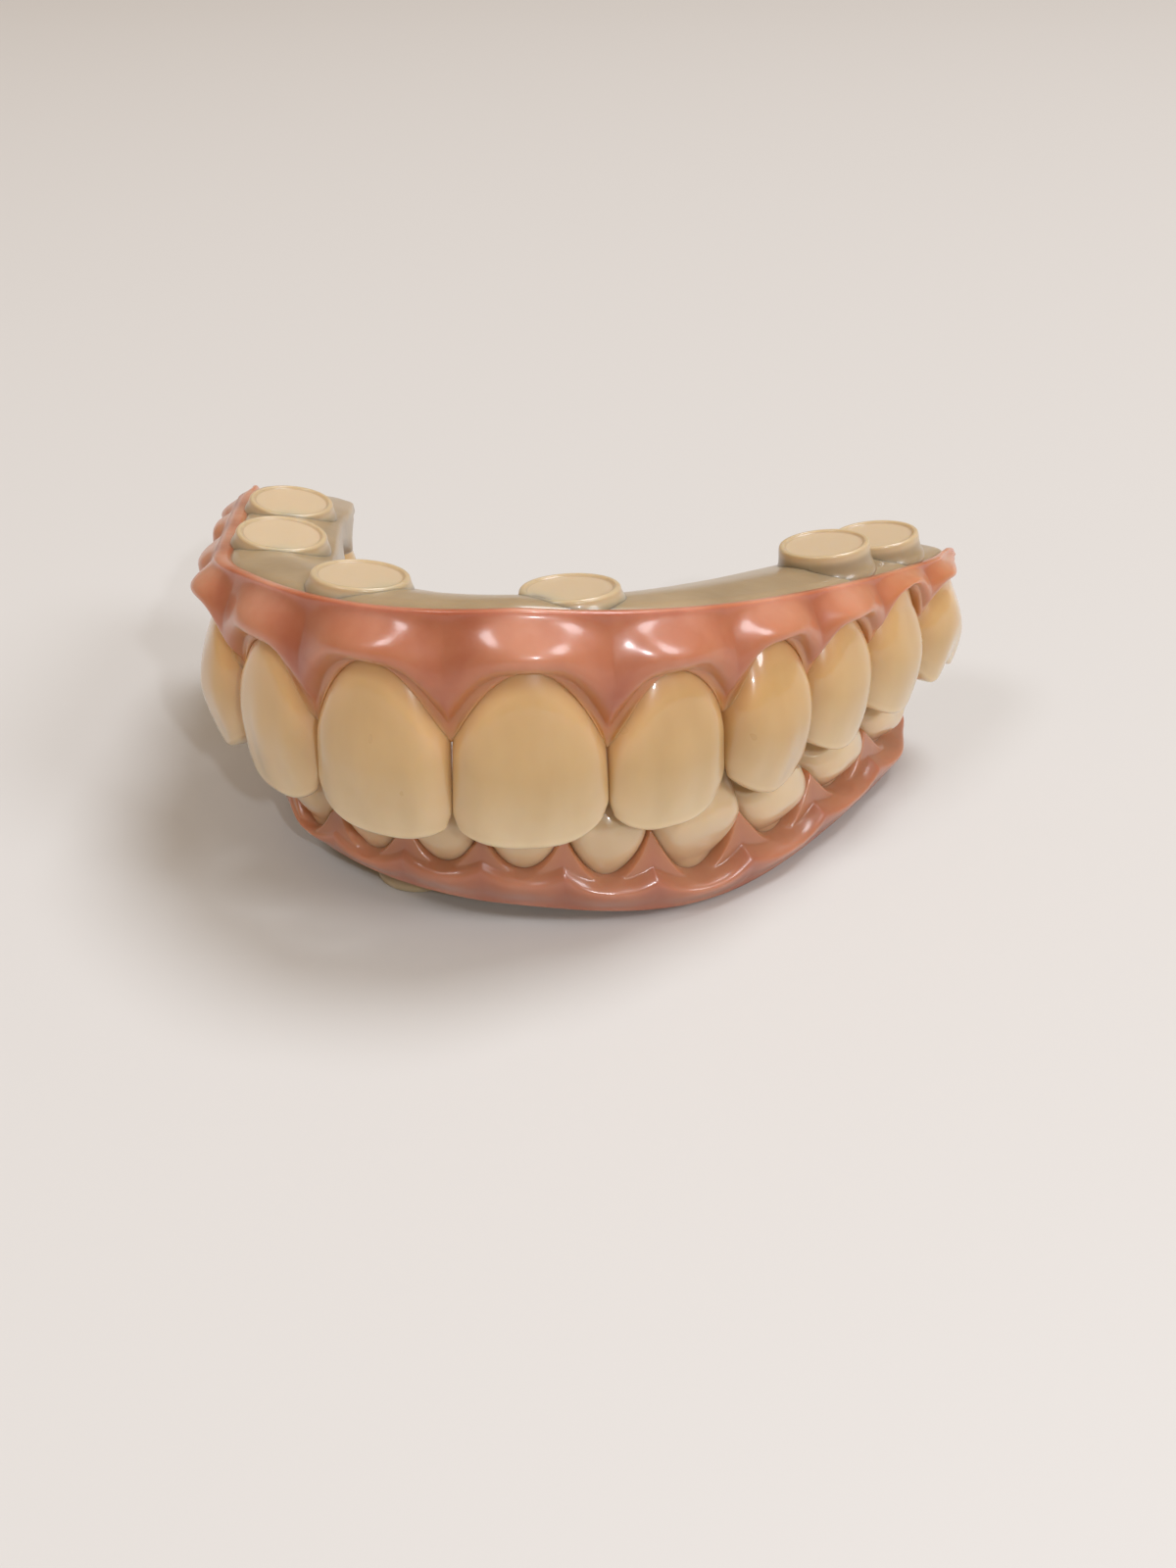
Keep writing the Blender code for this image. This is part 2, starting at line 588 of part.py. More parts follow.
def centre(names):
    """Move the meshes so that the box of the pieces stands centred over the origin."""
    spots = np.array([vertex.co for thing in bpy.data.collections[PIECES].objects
                      for vertex in thing.data.vertices])
    middle = 0.5 * (spots.min(axis=0) + spots.max(axis=0))
    for name in names:
        for thing in bpy.data.collections[name].objects:
            thing.data.transform(Matrix.Translation((-middle[0], -middle[1], 0.0)))


def collection_named(name):
    made = bpy.data.collections.new(name)
    bpy.context.scene.collection.children.link(made)
    return made


def main():
    for thing in list(bpy.data.objects):
        bpy.data.objects.remove(thing)
    pieces = collection_named(PIECES)
    cutters = collection_named(CUTTERS)
    standing = [(s, seat_frame(LOWER, s)[0][2]) for s in LOWER_SEATS]
    for arch, seats in ((UPPER, UPPER_SEATS), (LOWER, standing)):
        teeth = make_teeth(arch, pieces)
        make_framework(arch, teeth, seats, pieces, cutters)
        make_gum(arch, teeth, pieces)
    centre((PIECES, CUTTERS))


main()
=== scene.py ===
import math

import bpy
import numpy as np
from mathutils import Matrix, Vector


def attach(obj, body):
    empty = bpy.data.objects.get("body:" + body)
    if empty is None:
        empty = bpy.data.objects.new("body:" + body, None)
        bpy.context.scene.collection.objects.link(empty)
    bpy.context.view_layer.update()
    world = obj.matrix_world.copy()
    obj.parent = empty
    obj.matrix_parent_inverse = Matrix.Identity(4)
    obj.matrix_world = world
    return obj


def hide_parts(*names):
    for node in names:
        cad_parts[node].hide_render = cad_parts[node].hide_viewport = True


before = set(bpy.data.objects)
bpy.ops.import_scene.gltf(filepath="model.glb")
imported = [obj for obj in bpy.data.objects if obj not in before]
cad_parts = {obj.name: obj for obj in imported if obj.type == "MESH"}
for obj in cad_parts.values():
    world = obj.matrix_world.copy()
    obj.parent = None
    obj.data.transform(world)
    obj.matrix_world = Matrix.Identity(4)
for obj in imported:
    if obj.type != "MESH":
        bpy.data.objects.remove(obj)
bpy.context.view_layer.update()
print("frame loaded:", len(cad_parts), "nodes")

# Lengths are in millimetres here; makePiece turns them into metres.
# s runs along an arch from its middle (the wearer's right is negative), v points outwards from the
# labial line, and h is counted from the bite towards that arch's own gum.
bite = {"height": 7.5, "rearDrop": 1.2, "rearDropLength": 25.0, "rearDropEnd": 35.0,
        "cuspHeight": 1.6, "cuspSpacing": 6.2, "cuspInset": 1.68, "gap": 0.15,
        "middleX": 2.0255, "middleY": 17.6022}

# arms, right and left: the angle the front keeps below, the share of the length where the corner
# starts, its tightest radius, and the arm's own angle
upperArch = {
    "name": "upper", "up": 1.0, "halfWidth": 27.5, "depth": 29.5, "roundness": 0.84,
    "arms": [(45.0, 0.36, 10.0, 74.0), (90.0, 0.80, 30.0, 77.0)],
    "shift": 0.0, "setback": 0.0, "leftDeeper": 0.0, "middlePapilla": 5.5, "gumOverRoots": 0.42,
    "rootEnd": 11.2, "rootFall": 4.7, "gumTop": 13.2, "gumFall": 5.6, "gumMiddle": 4.0, "gumRise": 0.6,
    "incisorDepth": 5.8, "edgeLean": 0.3, "biteStart": 0.0, "incisorLonger": 0.42, "canineLonger": 0.5,
    # width, height of the gum line over the tooth, height of the papilla on its far side
    "teeth": [("central_incisor", 9.1, 10.0, 4.8), ("lateral_incisor", 7.7, 9.0, 5.3),
              ("canine", 6.8, 9.1, 5.5), ("first_premolar", 6.7, 8.4, 5.6),
              ("second_premolar", 6.5, 8.5, 5.2), ("first_molar", 7.7, 7.0, 5.6)]}

lowerArch = {
    "name": "lower", "up": -1.0, "halfWidth": 25.0, "depth": 30.0, "roundness": 0.56,
    "arms": [(44.0, 0.28, 10.3, 76.0), (90.0, 0.80, 30.0, 77.0)],
    "shift": 0.9, "setback": 2.9, "leftDeeper": 0.62, "middlePapilla": 1.0, "gumOverRoots": 0.42,
    "rootEnd": 4.5, "rootFall": 0.3, "gumTop": 6.4, "gumFall": 0.9, "gumMiddle": 0.0, "gumRise": -1.4,
    "incisorDepth": 5.0, "edgeLean": 1.3, "biteStart": -2.1, "incisorLonger": 0.2, "canineLonger": 0.3,
    "teeth": [("central_incisor", 4.8, 3.4, 1.0), ("lateral_incisor", 5.3, 3.8, 1.3),
              ("canine", 6.3, 4.3, 1.6), ("first_premolar", 6.8, 4.2, 1.6),
              ("second_premolar", 7.0, 4.1, 1.4), ("first_molar", 8.2, 4.0, 1.8)]}


def ease(x):
    # 3x^2 - 2x^3 between 0 and 1, flat outside
    x = np.clip(x, 0.0, 1.0)
    return x * x * (3.0 - 2.0 * x)


def softMax(a, b, blend):
    # half of a + b + root((a - b)^2 + blend^2): the larger one, with its corner rounded
    return 0.5 * (a + b + np.sqrt((a - b) ** 2 + blend ** 2))


def traceLine(arch):
    # y = depth (r q^2 + (1 - r) q^4), q = x / half width, gives an angle for each arc length; past the
    # corner it turns by a smooth step into the arm's angle, and x and y are the sums of its cos and sin
    q = np.linspace(0.0, 1.6, 1600)
    r = arch["roundness"]
    y = arch["depth"] * (r * q ** 2 + (1.0 - r) * q ** 4)
    slope = arch["depth"] / arch["halfWidth"] * (2.0 * r * q + 4.0 * (1.0 - r) * q ** 3)
    steps = np.hypot(arch["halfWidth"] * np.diff(q), np.diff(y))
    run = np.concatenate([[0.0], np.cumsum(steps)])
    arch["reach"] = sum(tooth[1] for tooth in arch["teeth"])
    arch["run"], arch["sides"] = run, []
    for frontAngle, start, radius, armAngle in arch["arms"]:
        angle = np.minimum(np.arctan(slope), math.radians(frontAngle))
        begin = start * arch["reach"]
        turn = abs(math.radians(armAngle) - np.interp(begin, run, angle))
        turned = ease((run - begin) / (1.5 * radius * turn))
        angle = angle * (1.0 - turned) + math.radians(armAngle) * turned
        middle = 0.5 * (angle[1:] + angle[:-1])
        x = np.concatenate([[0.0], np.cumsum(steps * np.cos(middle))])
        y = np.concatenate([[0.0], np.cumsum(steps * np.sin(middle))])
        arch["sides"].append((x, y, angle))


def alongLine(arch, s):
    # place and outward normal (sin a, -cos a) of the labial line, the right side mirrored
    right = np.asarray(s) < 0.0
    x, y, angle = [np.where(right, np.interp(-s, arch["run"], before), np.interp(s, arch["run"], after))
                   for before, after in zip(*arch["sides"])]
    side = np.where(right, -1.0, 1.0)
    return side * x, y, side * np.sin(angle), -np.cos(angle)


def planPlace(arch, s, v):
    x, y, nx, ny = alongLine(arch, s)
    return x + nx * v + arch["shift"], y + ny * v + arch["setback"]


def placeOn(arch, s, v, h):
    # line place plus v times its normal, and the bite height plus or minus h less the fall to the rear
    x, y = planPlace(arch, s, v)
    drop = bite["rearDrop"] * np.clip(y, 0.0, bite["rearDropEnd"]) / bite["rearDropLength"]
    z = bite["height"] + arch["up"] * h - drop
    return np.stack(np.broadcast_arrays(x - bite["middleX"], y - bite["middleY"], z), axis=-1)


# where the deeper part of the wearer's left side starts and where it ends again
deeperPart = {"start": 1.0, "startLength": 12.0, "end": 14.0, "endLength": 14.0}


def leftDeeper(arch, s):
    # a smooth step up times a smooth step down along the left side
    start = ease((s - deeperPart["start"]) / deeperPart["startLength"])
    return arch["leftDeeper"] * start * (1.0 - ease((s - deeperPart["end"]) / deeperPart["endLength"]))


def rootEnd(arch, s):
    # a fall with the 1.8th power of the distance from the middle, and deeper on the wearer's left
    return arch["rootEnd"] - arch["rootFall"] * (np.abs(s) / arch["reach"]) ** 1.8 + leftDeeper(arch, s)


def gumTop(arch, s):
    # a fall with the 1.25th power of the distance from its highest place, and a smooth step of gumRise, up
    # or down, towards the wearer's right; never below the roots
    away = s - arch["gumMiddle"]
    share = np.abs(away) / (arch["reach"] - np.sign(away) * arch["gumMiddle"])
    rise = arch["gumRise"] * ease(0.5 - s / arch["reach"])
    height = arch["gumTop"] - arch["gumFall"] * share ** 1.25 + rise
    return np.maximum(height + leftDeeper(arch, s), rootEnd(arch, s) + arch["gumOverRoots"])


def listTeeth(arch):
    teeth = []
    ends = np.concatenate([[0.0], np.cumsum([tooth[1] for tooth in arch["teeth"]])])
    for side in (-1.0, 1.0):
        near = arch["middlePapilla"]
        for index, (kind, width, gumLine, papilla) in enumerate(arch["teeth"]):
            middle = side * 0.5 * (ends[index] + ends[index + 1])
            teeth.append({"kind": kind, "side": side, "width": width, "near": near, "far": papilla,
                          "gumLine": gumLine + leftDeeper(arch, middle), "middle": middle,
                          "half": 0.5 * width - 0.02, "back": "molar" in kind, "arch": arch,
                          "node": "{}_{}_{}".format(arch["name"], "left" if side > 0 else "right", kind)})
            near = papilla
    return sorted(teeth, key=lambda tooth: tooth["middle"])


for arch in (upperArch, lowerArch):
    traceLine(arch)
    arch["list"] = listTeeth(arch)
upperTrack = np.stack(planPlace(upperArch, np.linspace(-55.0, 55.0, 441), 0.0), axis=-1)

toothShape = {"backFront": 2.0, "molarDepth": 8.4, "premolarDepth": 7.8, "backTaper": 0.07,
              "backBelly": 0.5, "backInset": 0.2, "backNeckRecess": 0.5, "edgeThickness": 1.2,
              "edgeRounding": 0.28, "edgeTaper": 0.08, "frontBelly": 0.3, "canineBulge": 0.45,
              "neckStart": 0.35, "neckLoss": 0.24, "contact": 0.44, "neckRecess": 0.75,
              "neckRoll": 0.3, "rollLength": 1.6, "lobeDepth": 0.05, "lobes": 3.0,
              "pointsRound": 96, "capRows": 12, "sideRows": 44}
# how far the corners of each biting edge fall back
edgeShape = {"canineFall": 1.6, "canineTip": 0.06, "molarDip": 0.5, "molarCorner": 0.4, "premolarFall": 1.3,
             "centralCorner": 0.7, "lateralCorner": 1.0, "farCornerMore": 0.5}


def biteHeight(x, y):
    # half a cusp height times 1 - cos(2 pi d / spacing), d = how far inside the upper line, less the inset
    gaps = np.full(np.shape(x), 1e9)
    for start in range(0, len(upperTrack), 21):
        part = upperTrack[start:start + 21]
        d = np.hypot(x[..., None] - part[:, 0], y[..., None] - part[:, 1]).min(axis=-1)
        gaps = np.minimum(gaps, d)
    inset = np.maximum(gaps - bite["cuspInset"], 0.0)
    return 0.5 * bite["cuspHeight"] * (1.0 - np.cos(2.0 * math.pi * inset / bite["cuspSpacing"]))


def edgeRise(tooth, u):
    # how far the biting edge lies back from the bite: powers of u, from -1 (near) to 1 (far side), with a
    # cosine between the molar's two cusps
    shape = edgeShape
    if tooth["kind"] == "canine":
        return shape["canineFall"] * np.abs(u - shape["canineTip"]) ** 1.5 - tooth["arch"]["canineLonger"]
    if tooth["kind"] == "first_molar":
        return shape["molarDip"] * (1.0 + np.cos(2.0 * math.pi * u)) + shape["molarCorner"] * np.abs(u) ** 4
    if tooth["back"]:
        return shape["premolarFall"] * np.abs(u) ** 1.6
    near = shape["centralCorner" if tooth["kind"] == "central_incisor" else "lateralCorner"]
    corner = np.where(u < 0.0, near, near + shape["farCornerMore"])
    return corner * np.abs(u) ** 3 - tooth["arch"]["incisorLonger"]


def biteEdge(tooth, s, v, u):
    # height of the biting face: the shared surface for back teeth, the flat bite for front ones
    arch = tooth["arch"]
    if tooth["back"]:
        x, y = planPlace(arch, s, v)
        return arch["up"] * biteHeight(*np.broadcast_arrays(x, y)) + bite["gap"] + edgeRise(tooth, u)
    return arch["biteStart"] + edgeRise(tooth, u)


def toothSection(tooth, t):
    # half width, middle line, front and back depth at share t from the biting edge to the root's end
    shape, arch = toothShape, tooth["arch"]
    neck = ease((t - shape["neckStart"]) / (1.0 - shape["neckStart"]))
    narrow = 1.0 - shape["neckLoss"] * ease((t - shape["contact"]) / (1.0 - shape["contact"]))
    if tooth["back"]:
        depth = shape["molarDepth" if tooth["kind"] == "first_molar" else "premolarDepth"]
        half = tooth["half"] * (narrow - shape["backTaper"] * (1.0 - ease(t / 0.2)))
        belly = shape["backBelly"] * np.sin(math.pi * np.minimum(1.0, 1.2 * t))
        front = shape["backFront"] + belly - shape["backInset"] - shape["backNeckRecess"] * neck
        back = (depth - shape["backFront"]) * (1.0 - 0.18 * neck - 0.08 * (1.0 - ease(t / 0.35)))
        return half, -shape["backFront"] + 0.0 * t, front, back
    half = tooth["half"] * (narrow - shape["edgeTaper"] * (1.0 - ease(t / 0.13)))
    edge = shape["edgeThickness"]
    thick = edge + (arch["incisorDepth"] - edge) * (0.3 * t + 0.7 * ease((t - 0.15) / 0.7))
    lean = arch["edgeLean"] * (1.0 - ease(t / 0.45))
    belly = shape["frontBelly"] + (shape["canineBulge"] if tooth["kind"] == "canine" else 0.0)
    face = belly * np.sin(math.pi * np.minimum(1.0, 1.15 * t)) - shape["neckRecess"] * neck - lean
    middle = -0.5 * edge - 0.9 * ease(t / 0.5) - lean
    return half, middle, face - middle, thick - face + middle


def neckRoll(tooth, s, h):
    # the front turns in towards the gum line by the square of 1 - distance / length
    near = np.clip(1.0 - (gumLine(tooth["arch"], s) - h) / toothShape["rollLength"], 0.0, 1.3)
    return toothShape["neckRoll"] * near ** 2


def toothFace(tooth, s, h, side):
    # front (1) or back (-1) line of the section that height h cuts: middle + depth (1 - |u|^2.5)^(1/2), and
    # in front less the roll at the neck
    v = -toothShape["backFront"] + 0.0 * s
    u = (s - tooth["middle"]) / tooth["half"]
    for _ in range(3):
        start = biteEdge(tooth, s, v, tooth["side"] * u)
        t = np.clip((h - start) / (rootEnd(tooth["arch"], s) - start), 0.0, 1.0)
        half, middle, front, back = toothSection(tooth, t)
        u = np.clip((s - tooth["middle"]) / half, -1.0, 1.0)
        v = middle + (front if side > 0 else -back) * (1.0 - np.abs(u) ** 2.5) ** 0.5
    return v - neckRoll(tooth, s, h) if side > 0 else v


def toothGrid(tooth):
    # rows from the middle of the biting face outwards, over the rounded edge and up to the root's end:
    # s = middle + half r |cos|^0.8, v = middle + depth r sin, h = edge + t (root - edge); in front the lobes
    # are added and the roll at the neck is taken off
    shape = toothShape
    turn = 2.0 * math.pi * (np.arange(shape["pointsRound"]) + 0.5) / shape["pointsRound"]
    inset = shape["edgeRounding"] / (2.2 if tooth["back"] else 0.6)
    corner = 0.5 * math.pi * np.linspace(0.0, 1.0, 8)
    shrink = np.concatenate([np.linspace(0.04, 1.0 - inset, shape["capRows"], endpoint=False),
                             1.0 - inset * (1.0 - np.sin(corner)), np.ones(shape["sideRows"])])
    first = shape["edgeRounding"] / 9.0
    t = np.concatenate([np.zeros(shape["capRows"]), first * (1.0 - np.cos(corner)),
                        first + (1.0 - first) * np.linspace(0.0, 1.0, shape["sideRows"] + 1)[1:] ** 1.3])
    shrink, t, turn = shrink[:, None], t[:, None], turn[None, :]
    half, middle, front, back = toothSection(tooth, t)
    across = shrink * np.sign(np.cos(turn)) * np.abs(np.cos(turn)) ** 0.8
    deep = shrink * np.sin(turn)
    v = middle + np.where(deep > 0.0, front, back) * deep
    if not tooth["back"]:
        # three upright lobes on the lip side, cos(3 pi u), fading to the neck and to the sides
        fade = np.clip(deep, 0.0, 1.0) * ease(t / 0.12) * (1.0 - ease((t - 0.3) / 0.45))
        v = v + shape["lobeDepth"] * np.cos(shape["lobes"] * math.pi * across) * fade
    s = tooth["middle"] + half * across
    u = tooth["side"] * across
    start = biteEdge(tooth, s, v, u)
    h = start + (rootEnd(tooth["arch"], s) - start) * t
    v = v - neckRoll(tooth, s, h) * np.clip(2.0 * deep, 0.0, 1.0)
    points = placeOn(tooth["arch"], s, v, h)
    line = gumLine(tooth["arch"], s)
    return points, {"fromEdge": h - start, "toGum": line - h, "across": u + 0.0 * t}


gumShape = {"upper": {"margin": -0.72, "swell": 0.66, "rootSwell": 0.54, "valleyStart": 0.7, "roll": 0.5,
                      "underRim": 0.0, "leftFuller": 0.0, "rightFuller": 0.35},
            "lower": {"margin": -0.42, "swell": 0.4, "rootSwell": 0.2, "valleyStart": 0.25, "roll": 0.25,
                      "underRim": 0.2, "leftFuller": 0.8, "rightFuller": 0.0},
            "fullHeight": 2.6, "leastSwell": 0.3, "rearSwell": 0.45, "tipFall": 0.6, "tipLength": 4.5,
            "lip": 0.15, "lipHeight": 0.35, "blend": 0.25, "embrasure": -1.5, "pastRoots": -1.7,
            "innerWall": -1.9, "intoTeeth": 0.3, "leftStart": 2.0, "leftLength": 14.0, "rightStart": 14.0,
            "rightLength": 8.0, "pastLastTooth": 0.9, "endLength": 1.8, "endTuck": 1.0, "tuckLength": 5.0,
            "stationGap": 0.12, "outerRows": 46}


def gumLine(arch, s, scallop=1.0):
    # over each tooth: papilla + (line - papilla)(1 - u^2), with the papilla of that side
    line = np.full(np.shape(s), arch["list"][0]["far"], dtype=float)
    for tooth in arch["list"]:
        u = tooth["side"] * (s - tooth["middle"]) / (0.5 * tooth["width"])
        papilla = np.where(u < 0.0, tooth["near"], tooth["far"])
        arched = papilla + scallop * (tooth["gumLine"] - papilla) * (1.0 - np.clip(np.abs(u), 0.0, 1.0) ** 2)
        line = np.where(np.abs(u) <= 1.0, arched, line)
    return line


def coverTeeth(arch, s, h, side, floor):
    # the outermost front (1) or back (-1) of the teeth, filled between them as far as the floor
    cover = floor + 0.0 * s
    for tooth in arch["list"]:
        at = np.nonzero(np.abs(s - tooth["middle"]) <= 0.5 * tooth["width"])
        face = toothFace(tooth, s[at], h[at], side)
        cover[at] = side * np.maximum(side * cover[at], side * face)
    return cover


def rootLump(arch, s):
    # cos^2 over each tooth, 0 between two teeth, 1 from the last middle to the end
    lump = np.where(np.abs(s) > abs(arch["list"][0]["middle"]), 1.0, 0.0)
    for tooth in arch["list"]:
        u = (s - tooth["middle"]) / (0.5 * tooth["width"])
        inside = (np.abs(u) <= 1.0) & (np.abs(s) <= abs(arch["list"][0]["middle"]))
        lump = np.where(inside, np.cos(0.5 * math.pi * u) ** 2, lump)
    return lump


def stationsAlong(end, length, gap):
    # even steps between the ends, and steps that close up as a sine over the last stretch
    inner = end - length
    tip = inner + length * np.sin(0.5 * math.pi * np.linspace(0.0, 1.0, 15)[1:])
    return np.concatenate([-tip[::-1], np.linspace(-inner, inner, int(2.0 * inner / gap)), tip])


def closeEnds(points, s, length):
    # over the last stretch each section is drawn in towards its middle by a quarter circle
    x = np.clip((np.abs(s) - s[-1] + length) / length, 0.0, 1.0)
    draw = np.sqrt(1.0 - 0.999 * x ** 2)[:, None, None]
    middle = points.mean(axis=1, keepdims=True)
    return middle + draw * (points - middle)


def zenithLine(arch, s):
    # the heights of the gum line over the middles of the teeth, with a smooth step from one to the next
    middles = np.array([tooth["middle"] for tooth in arch["list"]])
    heights = np.array([tooth["gumLine"] for tooth in arch["list"]])
    at = np.clip(np.searchsorted(middles, s) - 1, 0, len(middles) - 2)
    share = ease((s - middles[at]) / (middles[at + 1] - middles[at]))
    return heights[at] * (1.0 - share) + heights[at + 1] * share


def gumGrid(arch):
    # up the outer face: the larger of the teeth + lip and of the body, which is
    # margin + fuller + full (swell + root swell * lump) (1 - cos(2 pi y^0.6)) / 2 - roll - tuck - fall at
    # the tips, y = share of the way from its start, the line over the teeth or lower between them, to the
    # top; then over the top and down inside, a little into the teeth
    shape, own = gumShape, gumShape[arch["name"]]
    place = stationsAlong(arch["reach"] + shape["pastLastTooth"], shape["endLength"], shape["stationGap"])
    s = np.clip(place, 0.3 - arch["reach"], arch["reach"] - 0.3)
    low, top, lump, zenith = gumLine(arch, s), gumTop(arch, s), rootLump(arch, s), zenithLine(arch, s)
    tuck = shape["endTuck"] * ease((np.abs(s) - arch["reach"]) / shape["tuckLength"] + 1.0)
    fuller = (own["leftFuller"] * ease((s - shape["leftStart"]) / shape["leftLength"])
              + own["rightFuller"] * ease((-s - shape["rightStart"]) / shape["rightLength"]))
    start = zenith - own["valleyStart"] * (zenith - low) * (1.0 - lump)
    # a low band swells less
    full = shape["leastSwell"] + (1.0 - shape["leastSwell"]) * ease((top - zenith) / shape["fullHeight"])
    bulge = own["rootSwell"] * lump * (1.0 - shape["rearSwell"] * ease(np.abs(s) / arch["reach"]))
    rows = []
    for q in np.linspace(0.0, 1.0, shape["outerRows"]) ** 1.35:
        h = low + (top - low) * q
        y = np.clip((h - start) / (top - start), 0.0, 1.0)
        wave = 0.5 * (1.0 - np.cos(2.0 * math.pi * y ** 0.6))
        body = (own["margin"] + fuller * ease(2.0 * y + 0.3) + full * (own["swell"] + bulge) * wave
                - own["roll"] * ease((y - 0.45) / 0.55) ** 1.5 - tuck
                - shape["tipFall"] * ease((zenith - h) / shape["tipLength"]))
        bare = ease((h - rootEnd(arch, s)) / 0.6 + 0.5)
        cover = coverTeeth(arch, s, h, 1.0, shape["embrasure"]) * (1.0 - bare) + shape["pastRoots"] * bare
        skin = softMax(body, cover + shape["lip"], shape["blend"])
        lip = np.sqrt(1.0 - (1.0 - np.minimum((h - low) / shape["lipHeight"], 1.0)) ** 2)
        rows.append((cover + (skin - cover) * lip - 0.06 * (q == 0.0), h))
    rim = own["underRim"]
    for v, dh in ((-1.25, 0.04 + rim), (-1.55, 0.02 + rim), (-1.8, -0.1), (shape["innerWall"], -0.4)):
        rows.append((np.minimum(v, rows[-1][0] - 0.12), top + dh))
    rows.append((rows[-1][0], rootEnd(arch, s) + 0.1))
    for q in (1.0, 0.8, 0.6, 0.4, 0.2, 0.0):
        h = low + (rootEnd(arch, s) + 0.1 - low) * q
        rows.append((coverTeeth(arch, s, h, 1.0, shape["embrasure"]) - shape["intoTeeth"], h))
    points = np.stack([placeOn(arch, place, v, h) for v, h in rows], axis=1)
    rise = np.stack([h - low for v, h in rows], axis=1)
    # 1 between the root bulges, where the gum is coloured darker, partly as painted shade
    between = np.stack([1.0 - lump] * len(rows), axis=1)
    return closeEnds(points, place, shape["endLength"]), {"rise": rise, "between": between}


barShape = {"thickness": 0.8, "backThickness": 0.56, "front": 1.7, "depth": 5.6, "slope": 19.0,
            "crown": 0.35, "ridgeShare": 0.45, "overRoots": 0.3, "flange": 0.7, "flangeGap": 0.1,
            "scallop": 0.5, "pastLastTooth": 0.6, "endLength": 2.2, "stationGap": 0.25}
# seats: arc length from the middle and height over the ridge; the lower ones reach down to the table
seatShape = {"fromFront": 4.6, "lean": 8.0, "radius": 2.7, "fillet": 0.3, "lowerRadius": 2.55,
             "lowerFillet": 0.05, "socketRadius": 2.35, "socketDepth": 0.16, "dip": 0.35, "dipLength": 2.6,
             "upper": ((-35.2, 0.5), (-25.0, 0.5), (-8.6, 0.45), (8.0, 0.45), (30.3, 1.2), (37.2, 1.0)),
             "lower": ((-33.0, 0.0), (-19.0, 0.0), (-7.0, 0.0), (7.0, 0.0), (19.0, 0.0), (33.0, 0.0)),
             "pointsRound": 72}


def roundOff(rows, times=3):
    # corner cutting of a closed row of points: each edge gives points at 1/4 and 3/4
    for _ in range(times):
        after = np.roll(rows, -1, axis=1)
        rows = np.stack([0.75 * rows + 0.25 * after, 0.25 * rows + 0.75 * after], axis=2)
        rows = rows.reshape(rows.shape[0], -1, rows.shape[-1])
    return rows


def barHeights(arch, s):
    # underside over the roots, tissue side in front and behind, and the ridge crowned between them
    shape = barShape
    under = rootEnd(arch, s) + shape["overRoots"]
    top = np.maximum(gumTop(arch, s), under + shape["thickness"])
    fall = math.tan(math.radians(shape["slope"])) * shape["depth"]
    backTop = np.maximum(top - fall, under + shape["backThickness"])
    return under, top, backTop, backTop + shape["ridgeShare"] * (top - backTop) + shape["crown"]


def behindTeeth(arch, s, h):
    # the backs over the middles of the teeth, with a smooth step from one to the next
    middles = np.array([tooth["middle"] for tooth in arch["list"]])
    backs = np.stack([toothFace(tooth, np.full(np.shape(s), tooth["middle"]), h, -1.0)
                      for tooth in arch["list"]])
    at = np.clip(np.searchsorted(middles, s) - 1, 0, len(middles) - 2)
    share = ease((s - middles[at]) / (middles[at + 1] - middles[at]))
    column = np.arange(len(s))
    return backs[at, column] * (1.0 - share) + backs[at + 1, column] * share


def barGrid(arch):
    # the profile's corners at every station, rounded off by corner cutting
    shape = barShape
    place = stationsAlong(arch["reach"] + shape["pastLastTooth"], shape["endLength"], shape["stationGap"])
    s = np.clip(place, 0.5 - arch["reach"], arch["reach"] - 0.5)
    under, top, backTop, ridge = barHeights(arch, s)
    front, rear, centre = -shape["front"], -shape["front"] - shape["depth"], -seatShape["fromFront"]
    # the top dips a little where a seat stands, so that no bar shows in its socket
    dip = 0.0 * s
    for middle, _ in seatShape[arch["name"]]:
        dip = dip + seatShape["dip"] * ease(1.0 - np.abs(s - middle) / seatShape["dipLength"])
    rows = [(front + 0.1, under + 0.2), (front + 0.1, 0.5 * (under + top)), (front, top - 0.25),
            (front - 0.5, top + 0.02), (front - 1.2, top + 0.02 - dip), (centre, ridge - dip),
            (rear + 0.9, backTop + 0.05), (rear, backTop - 0.3)]
    line = gumLine(arch, s, shape["scallop"])
    for q in (0.0, 0.3, 0.65, 0.93):
        h = backTop - 0.5 + (line - backTop + 0.5) * q
        back = coverTeeth(arch, s, h, -1.0, centre)
        out = np.minimum(behindTeeth(arch, s, h) - 0.4, back - 0.3) - shape["flange"]
        rows.append((np.minimum(rear, out) + 0.35 * (q > 0.9), h))
    for q in (0.0, 0.33, 0.66, 1.0):
        h = line + (under - line) * q
        rows.append((coverTeeth(arch, s, h, -1.0, centre) - shape["flangeGap"], h))
    rows.append((centre + 0.3, under))
    grid = np.stack([placeOn(arch, place, v, h) for v, h in rows], axis=1)
    points = closeEnds(roundOff(grid), place, shape["endLength"])
    return points, {"seat": np.zeros(points.shape[:2])}


